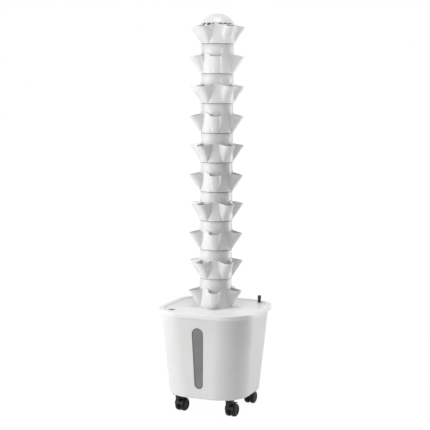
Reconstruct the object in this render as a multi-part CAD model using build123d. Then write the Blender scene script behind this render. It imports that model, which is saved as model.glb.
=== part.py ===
"""Hydroponic tower: ten stacked planting layers on a rolling water tank.

Millimetres, +Z up.  The origin is on the floor, under the axis of the tower.
The side with the level window faces -Y.
"""

import os
from math import atan, atan2, cos, degrees, radians, sin, sqrt, tan

from build123d import *

# Casters: twin wheels on a swivelling yoke under a screwed plate
wheel_diameter = 46.0
wheel_width = 15.5
wheel_inner_edge_radius = 3.0
wheel_outer_edge_radius = 8.0
wheel_face_dish = 1.6
wheel_dish_radius = 12.5
wheel_hub_cap = 2.0
wheel_hub_radius = 6.0
wheel_hub_nose_radius = 3.0
wheel_hub_drop = 0.8
axle_diameter = 6.0
axle_running_clearance = 0.05
axle_press_clearance = 0.02
caster_web = 6.0
caster_side_clearance = 0.5
caster_trail = 18.0
caster_web_radius = 14.0
caster_head_clearance = 2.7
caster_head_radius = 15.0
caster_head_thickness = 9.0
caster_swivel_gap = 0.3
caster_race_height = 4.5
caster_stem_diameter = 8.0
caster_stem_clearance = 0.05
caster_stem_end_gap = 1.0
caster_plate_side = 38.0
caster_plate_corner = 6.0
caster_plate_thickness = 3.0
caster_inset = 50.0
guard_width = 31.0
guard_gap = 1.8
guard_thickness = 2.2
guard_start_angle = 62.0
guard_end_angle = 168.0
caster_turn = {"front_left": 84.0, "front_right": 85.0, "rear_left": 90.0, "rear_right": 90.0}

# Screws that hold the caster plates
screw_spread = 28.0
screw_diameter = 3.0
screw_length = 11.0
screw_head_diameter = 7.0
screw_head_height = 2.4
screw_clearance = 0.3
screw_pilot_clearance = 0.05
boss_diameter = 9.0
boss_height = 12.0

# Water tank: a tapered tub with a rounded square plan
tank_bottom_side = 286.0
tank_top_side = 332.0
tank_height = 294.0
tank_corner_radius = 100.0
tank_wall = 3.0
tank_bottom_edge_radius = 6.0
tank_flange_width = 4.5
tank_flange_thickness = 4.0

# Level window: an obround that tapers downwards
window_foot = 36.0
window_length = 213.0
window_top_radius = 20.8
window_bottom_radius = 15.5
window_fit = 0.3
window_recess = 1.4
window_gasket_thickness = 1.5
window_gasket_width = 5.0
window_flange_width = 6.5
window_flange_thickness = 2.5

# Grommet for the pump lead, in the rear wall
grommet_lid_gap = 10.0
grommet_hole_radius = 6.0
grommet_fit = 0.1
grommet_flange_radius = 9.0
grommet_flange_thickness = 2.0
grommet_bore_radius = 3.0

# Lid
lid_fit = 1.45
lid_corner_growth = 2.5
lid_skirt_wall = 2.8
lid_skirt_depth = 11.5
lid_top_thickness = 4.5
lid_edge_radius = 3.5
lid_rim_width = 18.75
lid_recess_corner_radius = 86.0
lid_recess_drop = 3.5
lid_recess_slope = 6.0
lid_sheet = 3.0
lid_dais_radius = 92.0
lid_dais_slope = 7.0
lid_dais_rise = 1.6
lid_plinth_radius = 64.0
lid_plinth_slope = 3.0
lid_collar_wall = 2.8
lid_collar_depth = 20.0
fill_inset = 52.0
fill_hole_diameter = 25.0
fill_neck_wall = 2.0
fill_neck_depth = 14.0

# Float gauge
gauge_inset = 47.0
gauge_rod_diameter = 12.0
gauge_rod_rise = 28.5
gauge_rod_waist = 0.9
gauge_rod_tip_radius = 3.0
gauge_rod_drop = 46.0
gauge_rod_clearance = 0.1
gauge_bush_wall = 1.6
gauge_bush_fit = 0.05
gauge_bush_flange_width = 2.0
gauge_bush_flange_thickness = 2.5
gauge_bush_tail = 8.0
gauge_float_diameter = 25.0
gauge_float_height = 30.0
gauge_float_edge = 4.0
gauge_float_fit = 0.05

# Tower of planting layers
layer_count = 10
layer_pitch = 100.0
pockets_per_layer = 5
tube_diameter = 110.0
tube_wall = 2.5
socket_clearance = 0.15
ring_step = 2.2
web_height = 70.0
plug_depth = 30.0
ledge_height = 6.0
pocket_reach = 96.0
pocket_tip_height = 55.6
pocket_root_height = 64.0
pocket_foot_width = 22.0
pocket_lip_width = 34.0
pocket_mouth_width = 54.0
pocket_wall = 2.4
pocket_corner_radius = 12.0
pocket_floor = 6.0
pocket_root_radius = 47.5
pocket_void_radius = 42.5
upper_layer_turn = 180.0

# Cap with a toothed skirt
cap_dome_rise = 32.0
cap_wall = 2.4
cap_teeth = 18
cap_tooth_width = 5.0
cap_band = 1.5

# Riser pipe, distributor and pump
riser_diameter = 20.0
riser_wall = 2.0
riser_fit = 0.1
distributor_height = 25.0
distributor_thickness = 3.0
distributor_side_gap = 1.5
distributor_hub_wall = 3.0
distributor_hub_height = 12.0
distributor_rim = 4.0
drip_hole_count = 15
drip_hole_diameter = 4.0
drip_hole_inset = 7.0
pump_length = 70.0
pump_width = 56.0
pump_height = 64.0
pump_edge_radius = 6.0
pump_foot_height = 8.0
pump_foot_radius = 9.0
pump_foot_stem_radius = 3.0
pump_foot_inset = 12.0
chamber_radius = 19.0
chamber_depth = 20.0
impeller_radius = 16.5
impeller_thickness = 14.0
impeller_hub_radius = 5.0
impeller_blades = 6
impeller_blade_thickness = 2.0
impeller_end_gap = 2.0
impeller_clearance = 0.05
shaft_diameter = 3.0
shaft_seat = 6.0
shaft_fit = 0.02
strainer_margin = 5.0
strainer_depth = 12.0
strainer_wall = 2.5
strainer_boss_radius = 4.0
strainer_slots = 7
strainer_slot_width = 3.0
strainer_slot_length = 34.0
outlet_bore_diameter = 11.0
outlet_flange_radius = 13.0
outlet_flange_thickness = 4.0
outlet_spigot_length = 22.0

# Levels and radii that follow from the sizes above
wheel_radius = wheel_diameter / 2
axle_z = wheel_radius
head_bottom_z = wheel_diameter + caster_head_clearance
head_top_z = head_bottom_z + caster_head_thickness
race_bottom_z = head_top_z + caster_swivel_gap
plate_bottom_z = race_bottom_z + caster_race_height
tank_bottom_z = plate_bottom_z + caster_plate_thickness
tank_floor_z = tank_bottom_z + tank_wall
tank_rim_z = tank_bottom_z + tank_height
tank_slope = atan((tank_top_side - tank_bottom_side) / 2 / tank_height)
caster_offset = tank_bottom_side / 2 - caster_inset
grommet_reach = (tank_height - lid_skirt_depth) / cos(tank_slope)
grommet_height = grommet_reach - grommet_lid_gap - grommet_flange_radius
lid_side = tank_top_side + 2 * (tank_flange_width + lid_fit + lid_skirt_wall)
lid_corner_radius = tank_corner_radius + lid_corner_growth
lid_recess_side = lid_side - 2 * lid_rim_width
lid_bottom_z = tank_rim_z - lid_skirt_depth
lid_top_z = tank_rim_z + lid_top_thickness
lid_floor_z = lid_top_z - lid_recess_drop
lid_under_z = lid_floor_z - lid_sheet
fill_offset = tank_top_side / 2 - fill_inset
gauge_offset = tank_top_side / 2 - gauge_inset
tower_seat_z = lid_top_z
tube_radius = tube_diameter / 2
bore_radius = tube_radius - tube_wall
ring_radius = tube_radius + ring_step
socket_radius = tube_radius + socket_clearance
ring_inner_radius = ring_radius - tube_wall
visible_tube = layer_pitch - web_height
top_layer_z = tower_seat_z + (layer_count - 1) * layer_pitch
cap_seat_z = top_layer_z + web_height
pump_bottom_z = tank_floor_z + pump_foot_height
pump_top_z = pump_bottom_z + pump_height
pump_axis_z = pump_bottom_z + pump_height / 2
pump_front_y = -chamber_depth / 2
pump_middle_y = pump_front_y + pump_width / 2
chamber_back_y = pump_front_y + chamber_depth
strainer_front_y = pump_front_y - strainer_depth
riser_bottom_z = pump_top_z + outlet_flange_thickness
distributor_z = top_layer_z + distributor_height

# How far a cut runs past the face it opens, and a slab wider than any pocket
past = 1.0
cutter_side = 400.0


def rounded_square(side, radius, z):
    """A rounded square plan at height z."""
    return Plane.XY.offset(z) * RectangleRounded(side, side, radius)


def rod(radius, low, high):
    """An upright round bar on the Z axis."""
    return extrude(Plane.XY.offset(low) * Circle(radius), amount=high - low)


def bar_along_y(radius, low, high, z):
    """A round bar parallel to Y, through the Z axis at height z."""
    start = Plane(origin=(0, low, z), x_dir=(1, 0, 0), z_dir=(0, 1, 0))
    return extrude(start * Circle(radius), amount=high - low)


def turned(points):
    """A solid turned about Z from (radius, height) points."""
    return revolve(Plane.XZ * make_face(Polyline(*points, close=True)), axis=Axis.Z)


def tank_side_at(z):
    """The tub's outer width at height z."""
    return tank_bottom_side + 2 * (z - tank_bottom_z) * tan(tank_slope)


def wall_plane(direction):
    """The outer face of the front (-1) or rear (+1) wall, starting at the tub's foot."""
    return Plane(
        origin=(0, direction * tank_bottom_side / 2, tank_bottom_z),
        x_dir=(-direction, 0, 0),
        z_dir=(0, direction * cos(tank_slope), -sin(tank_slope)),
    )


def window_outline(grow):
    """The window's tapered obround on its wall, grown by a margin."""
    low = Pos(0, window_foot + window_bottom_radius) * Circle(window_bottom_radius + grow)
    high = Pos(0, window_foot + window_length - window_top_radius) * Circle(window_top_radius + grow)
    return make_hull(low.edges() + high.edges())


def wall_slab(plane, outline, depth, thickness):
    """A slab of an outline, let into a wall from a depth below its outer face."""
    return extrude(plane.offset(-depth) * outline, amount=-thickness)


def caster_places():
    """The name, the swivel axis and the turn of each caster."""
    for name, turn in caster_turn.items():
        x = caster_offset if name.endswith("right") else -caster_offset
        y = caster_offset if name.startswith("rear") else -caster_offset
        yield name, Location((x, y, 0)), Location((x, y, 0), (0, 0, turn))


def screw_places():
    """The four screw axes of a caster plate, about its swivel axis."""
    return [Location((x, y, 0)) for x in (-screw_spread / 2, screw_spread / 2)
            for y in (-screw_spread / 2, screw_spread / 2)]


def make_tank():
    shell = loft([rounded_square(tank_side_at(z), tank_corner_radius, z)
                  for z in (tank_bottom_z, tank_rim_z)], ruled=True)
    shell = fillet(shell.edges().group_by(Axis.Z)[0], tank_bottom_edge_radius)
    flange_side = tank_top_side + 2 * tank_flange_width
    flange_z = tank_rim_z - tank_flange_thickness
    shell += extrude(rounded_square(flange_side, tank_corner_radius + tank_flange_width, flange_z),
                     amount=tank_flange_thickness)
    skin = 2 * tank_wall / cos(tank_slope)
    shell -= loft([rounded_square(tank_side_at(z) - skin, tank_corner_radius - tank_wall, z)
                   for z in (tank_floor_z, tank_rim_z + past)], ruled=True)
    for _, place, _ in caster_places():
        for spot in screw_places():
            shell += place * spot * rod(boss_diameter / 2, tank_bottom_z + tank_wall / 2,
                                        tank_floor_z + boss_height)
            shell -= place * spot * rod(screw_diameter / 2 + screw_pilot_clearance,
                                        tank_bottom_z - past, plate_bottom_z + screw_length + past)
    shell -= wall_slab(wall_plane(-1).offset(past), window_outline(0), 0, tank_wall + 2 * past)
    grommet_spot = Pos(0, grommet_height) * Circle(grommet_hole_radius)
    shell -= wall_slab(wall_plane(1).offset(past), grommet_spot, 0, tank_wall + 2 * past)
    return shell


def make_window_lens():
    front = wall_plane(-1)
    back = tank_wall + window_gasket_thickness
    lens = wall_slab(front, window_outline(-window_fit), window_recess, back - window_recess)
    return lens + wall_slab(front, window_outline(window_flange_width), back, window_flange_thickness)


def make_window_gasket():
    front = wall_plane(-1)
    ring = wall_slab(front, window_outline(window_gasket_width), tank_wall, window_gasket_thickness)
    return ring - wall_slab(front, window_outline(window_fit), tank_wall - past,
                            window_gasket_thickness + 2 * past)


def make_grommet():
    rear = wall_plane(1)

    def disc(radius, depth, thickness):
        return wall_slab(rear, Pos(0, grommet_height) * Circle(radius), depth, thickness)

    ring = disc(grommet_flange_radius, -grommet_flange_thickness, grommet_flange_thickness)
    ring += disc(grommet_hole_radius - grommet_fit, 0, tank_wall)
    ring += disc(grommet_flange_radius, tank_wall, grommet_flange_thickness)
    whole = tank_wall + 2 * grommet_flange_thickness + 2 * past
    return ring - disc(grommet_bore_radius, -grommet_flange_thickness - past, whole)


def fill_place():
    """The fill port's axis, near the lid's front left corner."""
    return Location((-fill_offset, -fill_offset, 0))


def gauge_place():
    """The float gauge's axis, near the lid's rear right corner."""
    return Location((gauge_offset, gauge_offset, 0))


def make_lid():
    lid = extrude(rounded_square(lid_side, lid_corner_radius, lid_bottom_z),
                  amount=lid_skirt_depth + lid_top_thickness)
    lid = fillet(lid.edges().group_by(Axis.Z)[-1], lid_edge_radius)
    lid -= extrude(rounded_square(lid_side - 2 * lid_skirt_wall, lid_corner_radius - lid_skirt_wall,
                                  lid_bottom_z - past), amount=lid_skirt_depth + past)
    lid += extrude(rounded_square(lid_recess_side + 2 * lid_sheet, lid_recess_corner_radius + lid_sheet,
                                  lid_under_z), amount=tank_rim_z + past - lid_under_z)
    lid -= loft([rounded_square(lid_recess_side - 2 * lid_recess_slope,
                                lid_recess_corner_radius - lid_recess_slope, lid_floor_z),
                 rounded_square(lid_recess_side, lid_recess_corner_radius, lid_top_z)], ruled=True)
    dais_top = lid_floor_z + lid_dais_rise
    lid += turned([(0, lid_under_z), (lid_dais_radius + lid_dais_slope, lid_under_z),
                   (lid_dais_radius + lid_dais_slope, lid_floor_z), (lid_dais_radius, dais_top),
                   (lid_plinth_radius + lid_plinth_slope, dais_top),
                   (lid_plinth_radius, tower_seat_z), (0, tower_seat_z)])
    collar_bottom = lid_under_z - lid_collar_depth
    lid += rod(socket_radius + lid_collar_wall, collar_bottom, lid_floor_z)
    lid -= rod(socket_radius, collar_bottom - past, tower_seat_z + past)
    fill = fill_place()
    fill_radius = fill_hole_diameter / 2
    neck_bottom = lid_under_z - fill_neck_depth
    lid += fill * rod(fill_radius + fill_neck_wall, neck_bottom, lid_floor_z)
    lid -= fill * rod(fill_radius, neck_bottom - past, lid_top_z + past)
    bush_radius = gauge_rod_diameter / 2 + gauge_rod_clearance + gauge_bush_wall + gauge_bush_fit
    lid -= gauge_place() * rod(bush_radius, lid_under_z - past, lid_top_z + past)
    return lid


def make_gauge_bush():
    bore = gauge_rod_diameter / 2 + gauge_rod_clearance
    sleeve = bore + gauge_bush_wall
    top = lid_floor_z + gauge_bush_flange_thickness
    bush = rod(sleeve, lid_under_z - gauge_bush_tail, lid_floor_z)
    bush += rod(sleeve + gauge_bush_flange_width, lid_floor_z, top)
    return gauge_place() * (bush - rod(bore, lid_under_z - gauge_bush_tail - past, top + past))


def make_gauge_rod():
    radius = gauge_rod_diameter / 2
    top = lid_floor_z + gauge_rod_rise
    waist_low = lid_floor_z + gauge_bush_flange_thickness + radius
    waist_high = top - 2 * radius
    profile = [(0, lid_under_z - gauge_rod_drop), (radius, lid_under_z - gauge_rod_drop),
               (radius, waist_low), (radius - gauge_rod_waist, (waist_low + waist_high) / 2),
               (radius, waist_high), (radius, top), (0, top)]
    stick = turned(profile)
    return gauge_place() * fillet(stick.edges().group_by(Axis.Z)[-1], gauge_rod_tip_radius)


def make_gauge_float():
    low = lid_under_z - gauge_rod_drop
    disc = rod(gauge_float_diameter / 2, low, low + gauge_float_height)
    disc = fillet(disc.edges(), gauge_float_edge)
    hole = rod(gauge_rod_diameter / 2 + gauge_float_fit, low - past, low + gauge_float_height + past)
    return gauge_place() * (disc - hole)


def pocket_wedge(inset, low, root_radius):
    """A pocket's flared body along +X, above a layer's step, with its front and sides moved in by an inset."""
    flare = (pocket_reach - ring_radius) / pocket_tip_height
    widening = (pocket_lip_width - pocket_foot_width) / 2 / pocket_tip_height
    mouth_lip = pocket_foot_width / 2 + widening * pocket_root_height
    mouth_depth = ring_radius + flare * pocket_root_height - pocket_root_radius
    lean = (pocket_mouth_width / 2 - mouth_lip) / mouth_depth
    wedge = Pos(root_radius, 0, low) * Box(
        cutter_side, cutter_side, web_height + past - low, align=(Align.MIN, Align.CENTER, Align.MIN))
    front = Plane(origin=(ring_radius - inset, 0, 0), z_dir=(1, 0, -flare))
    wedge = split(wedge, bisect_by=front, keep=Keep.BOTTOM)
    for side in (-1, 1):
        wall = Plane(origin=(ring_radius, side * (pocket_foot_width / 2 - inset), 0),
                     z_dir=(lean, side, -widening - flare * lean))
        wedge = split(wedge, bisect_by=wall, keep=Keep.BOTTOM)
    upright = wedge.edges().filter_by(lambda edge: abs(edge.tangent_at(0).Z) > abs(edge.tangent_at(0).Y))
    return fillet(upright.sort_by(Axis.X)[-2:], pocket_corner_radius - inset)


def make_pocket():
    """The outside of one pocket, cut off along its sloping rim."""
    slope = (pocket_root_height - pocket_tip_height) / (pocket_reach - ring_radius)
    rim = Plane(origin=(pocket_reach, 0, pocket_tip_height), z_dir=(slope, 0, 1))
    return split(pocket_wedge(0, 0, pocket_root_radius), bisect_by=rim, keep=Keep.BOTTOM)


def make_layer():
    """One planting layer, with its step at z = 0 and one pocket along +X."""
    ledge_top = web_height - plug_depth
    spigot_end = -visible_tube - plug_depth
    outside = turned([(0, spigot_end), (tube_radius, spigot_end), (tube_radius, 0), (ring_radius, 0),
                      (ring_radius, web_height), (0, web_height)])
    ledge_rise = ring_inner_radius - bore_radius
    hollow = turned([(0, spigot_end - past), (bore_radius, spigot_end - past), (bore_radius, tube_wall),
                     (ring_inner_radius, tube_wall + ledge_rise),
                     (ring_inner_radius, ledge_top - ledge_height), (bore_radius, ledge_top - ledge_rise),
                     (bore_radius, ledge_top), (socket_radius, ledge_top),
                     (socket_radius, web_height + past), (0, web_height + past)])
    void = pocket_wedge(pocket_wall, pocket_floor, pocket_void_radius)
    turns = [Rot(0, 0, 360 / pockets_per_layer * k) for k in range(pockets_per_layer)]
    pocket = make_pocket()
    layer = outside + [turn * pocket for turn in turns]
    layer -= hollow
    return layer - [turn * void for turn in turns]


def make_cap():
    outer = (tube_radius ** 2 + cap_dome_rise ** 2) / (2 * cap_dome_rise)
    centre = cap_dome_rise - outer
    inner = outer - cap_wall
    inner_rim = sqrt(inner ** 2 - centre ** 2)
    half_turn = atan2(tube_radius, -centre) / 2
    inner_half = atan2(inner_rim, -centre) / 2
    edge = [
        ThreePointArc((0, cap_dome_rise), (outer * sin(half_turn), centre + outer * cos(half_turn)),
                      (tube_radius, 0)),
        Line((tube_radius, 0), (inner_rim, 0)),
        ThreePointArc((inner_rim, 0), (inner * sin(inner_half), centre + inner * cos(inner_half)),
                      (0, centre + inner)),
        Line((0, centre + inner), (0, cap_dome_rise)),
    ]
    dome = revolve(Plane.XZ * make_face(edge), axis=Axis.Z)
    skirt = rod(tube_radius, -plug_depth, 0) - rod(bore_radius, -plug_depth - past, past)
    gap_turn = 360 / cap_teeth
    gap_angle = gap_turn - degrees(cap_tooth_width / tube_radius)
    gap_plan = Plane.XZ * Pos(tube_radius, -cap_band - plug_depth / 2) * Rectangle(4 * tube_wall, plug_depth)
    gap = revolve(gap_plan, axis=Axis.Z, revolution_arc=gap_angle)
    skirt -= [Rot(0, 0, gap_turn * k - gap_angle / 2) * gap for k in range(cap_teeth)]
    return Pos(0, 0, cap_seat_z) * (dome + skirt)


def make_riser():
    top = distributor_z + distributor_hub_height
    return rod(riser_diameter / 2, riser_bottom_z, top) - rod(
        riser_diameter / 2 - riser_wall, riser_bottom_z - past, top + past)


def make_distributor():
    edge = bore_radius - distributor_side_gap
    bore = riser_diameter / 2 + riser_fit
    hub = bore + distributor_hub_wall
    top = distributor_z + distributor_thickness
    plate = rod(edge, distributor_z, top + distributor_rim)
    plate -= rod(edge - distributor_thickness, top, top + distributor_rim + past)
    plate += rod(hub, distributor_z, distributor_z + distributor_hub_height - distributor_thickness)
    plate -= rod(bore, distributor_z - past, distributor_z + distributor_hub_height + past)
    hole = Pos(edge - drip_hole_inset, 0, 0) * rod(drip_hole_diameter / 2, distributor_z - past, top + past)
    return plate - [Rot(0, 0, 360 / drip_hole_count * k) * hole for k in range(drip_hole_count)]


def make_pump_body():
    block = Pos(0, pump_middle_y, pump_axis_z) * Box(pump_length, pump_width, pump_height)
    block = fillet(block.edges(), pump_edge_radius)
    block -= bar_along_y(chamber_radius, pump_front_y - past, chamber_back_y, pump_axis_z)
    block -= bar_along_y(shaft_diameter / 2 + shaft_fit, pump_front_y, chamber_back_y + shaft_seat, pump_axis_z)
    return block - rod(outlet_bore_diameter / 2, pump_axis_z, pump_top_z + past)


def make_pump_strainer():
    wide = pump_length - 2 * strainer_margin
    tall = pump_height - 2 * strainer_margin
    middle_y = (pump_front_y + strainer_front_y) / 2
    cover = Pos(0, middle_y, pump_axis_z) * Box(wide, strainer_depth, tall)
    cover = fillet(cover.edges().filter_by(Axis.Y), pump_edge_radius)
    cover -= Pos(0, middle_y + strainer_wall, pump_axis_z) * Box(
        wide - 2 * strainer_wall, strainer_depth, tall - 2 * strainer_wall)
    pitch = (wide - 2 * pump_edge_radius) / strainer_slots
    slot = Pos(0, strainer_front_y, pump_axis_z) * Box(
        strainer_slot_width, 2 * (strainer_wall + past), strainer_slot_length)
    for k in range(strainer_slots):
        cover -= Pos((k - (strainer_slots - 1) / 2) * pitch, 0, 0) * slot
    cover += bar_along_y(strainer_boss_radius, strainer_front_y, pump_front_y - strainer_wall, pump_axis_z)
    return cover - bar_along_y(shaft_diameter / 2 + shaft_fit, strainer_front_y + strainer_wall,
                               pump_front_y, pump_axis_z)


def make_pump_shaft():
    return bar_along_y(shaft_diameter / 2, strainer_front_y + strainer_wall, chamber_back_y + shaft_seat,
                       pump_axis_z)


def make_pump_impeller():
    front = chamber_back_y - impeller_end_gap - impeller_thickness
    back = chamber_back_y - impeller_end_gap
    wheel = bar_along_y(impeller_hub_radius, front, back, pump_axis_z)
    blade = Pos(impeller_radius / 2, (front + back) / 2, 0) * Box(
        impeller_radius, impeller_thickness, impeller_blade_thickness)
    for k in range(impeller_blades):
        wheel += Pos(0, 0, pump_axis_z) * Rot(0, 360 / impeller_blades * k, 0) * blade
    return wheel - bar_along_y(shaft_diameter / 2 + impeller_clearance, front - past, back + past, pump_axis_z)


def make_pump_outlet():
    spigot = riser_diameter / 2 - riser_wall - riser_fit
    top = riser_bottom_z + outlet_spigot_length
    tube = rod(outlet_flange_radius, pump_top_z, riser_bottom_z) + rod(spigot, pump_top_z, top)
    return tube - rod(outlet_bore_diameter / 2, pump_top_z - past, top + past)


def make_pump_feet():
    cup = turned([(0, tank_floor_z), (pump_foot_radius, tank_floor_z),
                  (pump_foot_stem_radius, tank_floor_z + pump_foot_height / 2),
                  (pump_foot_stem_radius, pump_bottom_z), (0, pump_bottom_z)])
    x = pump_length / 2 - pump_foot_inset
    y = pump_width / 2 - pump_foot_inset
    return [Pos(i * x, pump_middle_y + j * y, 0) * cup for i in (-1, 1) for j in (-1, 1)]


def make_caster_plate():
    plate = extrude(Plane.XY.offset(plate_bottom_z) * RectangleRounded(
        caster_plate_side, caster_plate_side, caster_plate_corner), amount=caster_plate_thickness)
    plate += rod(caster_head_radius, race_bottom_z, plate_bottom_z)
    plate -= rod(caster_stem_diameter / 2 + caster_stem_clearance, race_bottom_z - past, tank_bottom_z + past)
    for spot in screw_places():
        plate -= spot * rod(screw_diameter / 2 + screw_clearance, plate_bottom_z - past, tank_bottom_z + past)
    return plate


def make_caster_yoke():
    yoke = rod(caster_head_radius, head_bottom_z, head_top_z)
    yoke += rod(caster_stem_diameter / 2, head_bottom_z, tank_bottom_z - caster_stem_end_gap)
    hub = Pos(caster_trail, axle_z) * Circle(caster_web_radius)
    top = Line((-caster_head_radius, head_bottom_z), (caster_head_radius, head_bottom_z))
    arm = Plane.XZ * make_hull(hub.edges() + [top])
    yoke += extrude(arm, amount=caster_web / 2, both=True)
    guard_inner = wheel_radius + guard_gap
    guard_outer = guard_inner + guard_thickness
    ring = Circle(guard_outer) - Circle(guard_inner)
    reach = 2 * guard_outer
    wedge = make_face(Polyline(
        (0, 0),
        *[(reach * cos(radians(a)), reach * sin(radians(a)))
          for a in (guard_start_angle, (guard_start_angle + guard_end_angle) / 2, guard_end_angle)],
        close=True))
    shell = Plane.XZ * Pos(caster_trail, axle_z) * (ring & wedge)
    guard = extrude(shell, amount=guard_width / 2, both=True)
    return yoke + guard - bar_at_axle(axle_diameter / 2 + axle_press_clearance, caster_web)


def bar_at_axle(radius, length):
    """A round bar on the caster's axle line, centred on its web."""
    return Pos(caster_trail, 0, 0) * bar_along_y(radius, -length / 2, length / 2, axle_z)


def make_caster_axle():
    return bar_at_axle(axle_diameter / 2, caster_web + 2 * (wheel_width - wheel_hub_cap))


def make_caster_wheel(direction):
    """One wheel of a pair, on the +Y (+1) or the -Y (-1) side of the web."""
    inner = caster_web / 2 + caster_side_clearance
    outer = inner + wheel_width
    disc = rod(wheel_radius, inner, outer)
    disc = fillet(disc.edges().group_by(Axis.Z)[-1], wheel_outer_edge_radius)
    disc = fillet(disc.edges().group_by(Axis.Z)[0], wheel_inner_edge_radius)
    disc -= turned([(0, outer - wheel_face_dish), (wheel_dish_radius - wheel_face_dish, outer - wheel_face_dish),
                    (wheel_dish_radius, outer + past), (0, outer + past)])
    disc += turned([(0, inner + past), (wheel_hub_radius, inner + past),
                    (wheel_hub_radius, outer - wheel_face_dish), (wheel_hub_nose_radius, outer - wheel_hub_drop),
                    (0, outer - wheel_hub_drop)])
    disc -= rod(axle_diameter / 2 + axle_running_clearance, inner - past, outer - wheel_hub_cap)
    upright = Rot(-direction * 90, 0, 0) * disc
    return Pos(caster_trail, 0, axle_z) * upright


def make_caster_screws():
    """All the screws of the four plates, each a separate solid."""
    screw = rod(screw_diameter / 2, plate_bottom_z - screw_head_height, plate_bottom_z + screw_length)
    head = rod(screw_head_diameter / 2, plate_bottom_z - screw_head_height, plate_bottom_z)
    screw += fillet(head.edges().group_by(Axis.Z)[0], screw_head_height / 2)
    return [place * spot * screw for _, place, _ in caster_places() for spot in screw_places()]


def make_parts():
    """Every piece of the tower under its node's name."""
    parts = {
        "reservoir_tank": make_tank(),
        "window_lens": make_window_lens(),
        "window_gasket": make_window_gasket(),
        "cable_grommet": make_grommet(),
        "reservoir_lid": make_lid(),
        "gauge_bush": make_gauge_bush(),
        "gauge_rod": make_gauge_rod(),
        "gauge_float": make_gauge_float(),
        "tower_cap": make_cap(),
        "riser_pipe": make_riser(),
        "water_distributor": make_distributor(),
        "pump_body": make_pump_body(),
        "pump_strainer": make_pump_strainer(),
        "pump_shaft": make_pump_shaft(),
        "pump_impeller": make_pump_impeller(),
        "pump_outlet": make_pump_outlet(),
        "pump_feet": Compound(children=make_pump_feet()),
        "caster_screws": Compound(children=make_caster_screws()),
    }
    layer = make_layer()
    for number in range(1, layer_count + 1):
        turn = upper_layer_turn if number % 2 else 0
        z = tower_seat_z + (layer_count - number) * layer_pitch
        parts[f"planting_layer_{number:02d}"] = Location((0, 0, z), (0, 0, turn)) * layer
    plate = make_caster_plate()
    moving = {"yoke": make_caster_yoke(), "axle": make_caster_axle(),
              "wheel_a": make_caster_wheel(-1), "wheel_b": make_caster_wheel(1)}
    for name, place, turned_place in caster_places():
        parts[f"caster_{name}_plate"] = place * plate
        for piece, solid in moving.items():
            parts[f"caster_{name}_{piece}"] = turned_place * solid
    return parts


os.makedirs("parts", exist_ok=True)
for node, shape in make_parts().items():
    export_step(shape, f"parts/{node}.step")
    print(node, f"{shape.volume / 1000:.1f} cm3")
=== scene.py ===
# %% [markdown]
# # A hydroponic tower
# Ten white planting layers are plugged together on the lid of a water tank, which rolls on four
# twin-wheel casters. The construction is a finished model, so this lesson is about the looks: soft
# moulded lips on the pockets, satin plastic, a smoky level window and plain studio light.

# %% Load the construction
from math import cos, pi, radians, sin

import bpy
from mathutils import Matrix, Vector


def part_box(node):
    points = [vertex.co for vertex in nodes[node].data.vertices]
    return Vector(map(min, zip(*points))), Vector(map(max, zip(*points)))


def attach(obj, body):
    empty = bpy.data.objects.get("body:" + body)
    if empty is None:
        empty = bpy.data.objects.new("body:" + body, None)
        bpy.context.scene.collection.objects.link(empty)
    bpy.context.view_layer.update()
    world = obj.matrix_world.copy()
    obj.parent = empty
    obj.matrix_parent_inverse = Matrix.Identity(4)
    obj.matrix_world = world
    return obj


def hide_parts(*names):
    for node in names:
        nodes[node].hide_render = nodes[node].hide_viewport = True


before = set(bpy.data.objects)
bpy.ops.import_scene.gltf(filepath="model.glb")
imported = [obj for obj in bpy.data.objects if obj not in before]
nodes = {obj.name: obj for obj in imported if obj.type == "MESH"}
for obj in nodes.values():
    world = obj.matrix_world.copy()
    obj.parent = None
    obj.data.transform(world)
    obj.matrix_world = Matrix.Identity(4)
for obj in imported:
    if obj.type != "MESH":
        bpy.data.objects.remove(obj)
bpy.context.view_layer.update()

# %% [markdown]
# ## Wires and groups
# The finishes and the planting layers are both made of nodes. Placing every node by hand in the editor
# would show the same result, but a script can be read and changed. A few small helpers keep it
# readable: one feeds a socket with a number, a colour or a wire, one wraps a wire so that a rule can be
# written as an ordinary sum, and one starts a group with named sockets.

# %% Feed a socket, add a node


def feed(tree, socket, value):
    """Puts a wire or a plain value on a socket."""
    if isinstance(value, Wire):
        tree.links.new(value.socket, socket)
    elif isinstance(value, bpy.types.NodeSocket):
        tree.links.new(value, socket)
    else:
        socket.default_value = value


def add_node(tree, kind, settings=None, **inputs):
    """A new node with its settings, and its inputs fed by name (spaces as underscores)."""
    node = tree.nodes.new(kind)
    for name, value in (settings or {}).items():
        setattr(node, name, value)
    for name, value in inputs.items():
        feed(tree, node.inputs[name.replace("_", " ")], value)
    return node


print("helpers for nodes")

# %% A number that runs through a tree


class Wire:
    """A number that runs through a node tree."""

    def __init__(self, tree, socket):
        self.tree = tree
        self.socket = socket

    def step(self, operation, *others):
        """The result of a Math node on this wire and other values."""
        node = self.tree.nodes.new("ShaderNodeMath")
        node.operation = operation
        for place, value in enumerate((self, *others)):
            feed(self.tree, node.inputs[place], value)
        return Wire(self.tree, node.outputs[0])

    def __add__(self, other):
        return self.step("ADD", other)

    def __sub__(self, other):
        return self.step("SUBTRACT", other)

    def __mul__(self, other):
        return self.step("MULTIPLY", other)

    def __truediv__(self, other):
        return self.step("DIVIDE", other)

    def __rsub__(self, other):
        return self * -1.0 + other

    def towards(self, other, share):
        """A value between this one (share 0) and another (share 1)."""
        return self + (other - self) * share

    def ramp(self, low, high):
        """A smooth rise from 0 at low to 1 at high."""
        node = self.tree.nodes.new("ShaderNodeMapRange")
        node.interpolation_type = "SMOOTHSTEP"
        for place, value in enumerate((self, low, high)):
            feed(self.tree, node.inputs[place], value)
        return Wire(self.tree, node.outputs[0])


print("wires can be added, multiplied and ramped")

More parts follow.
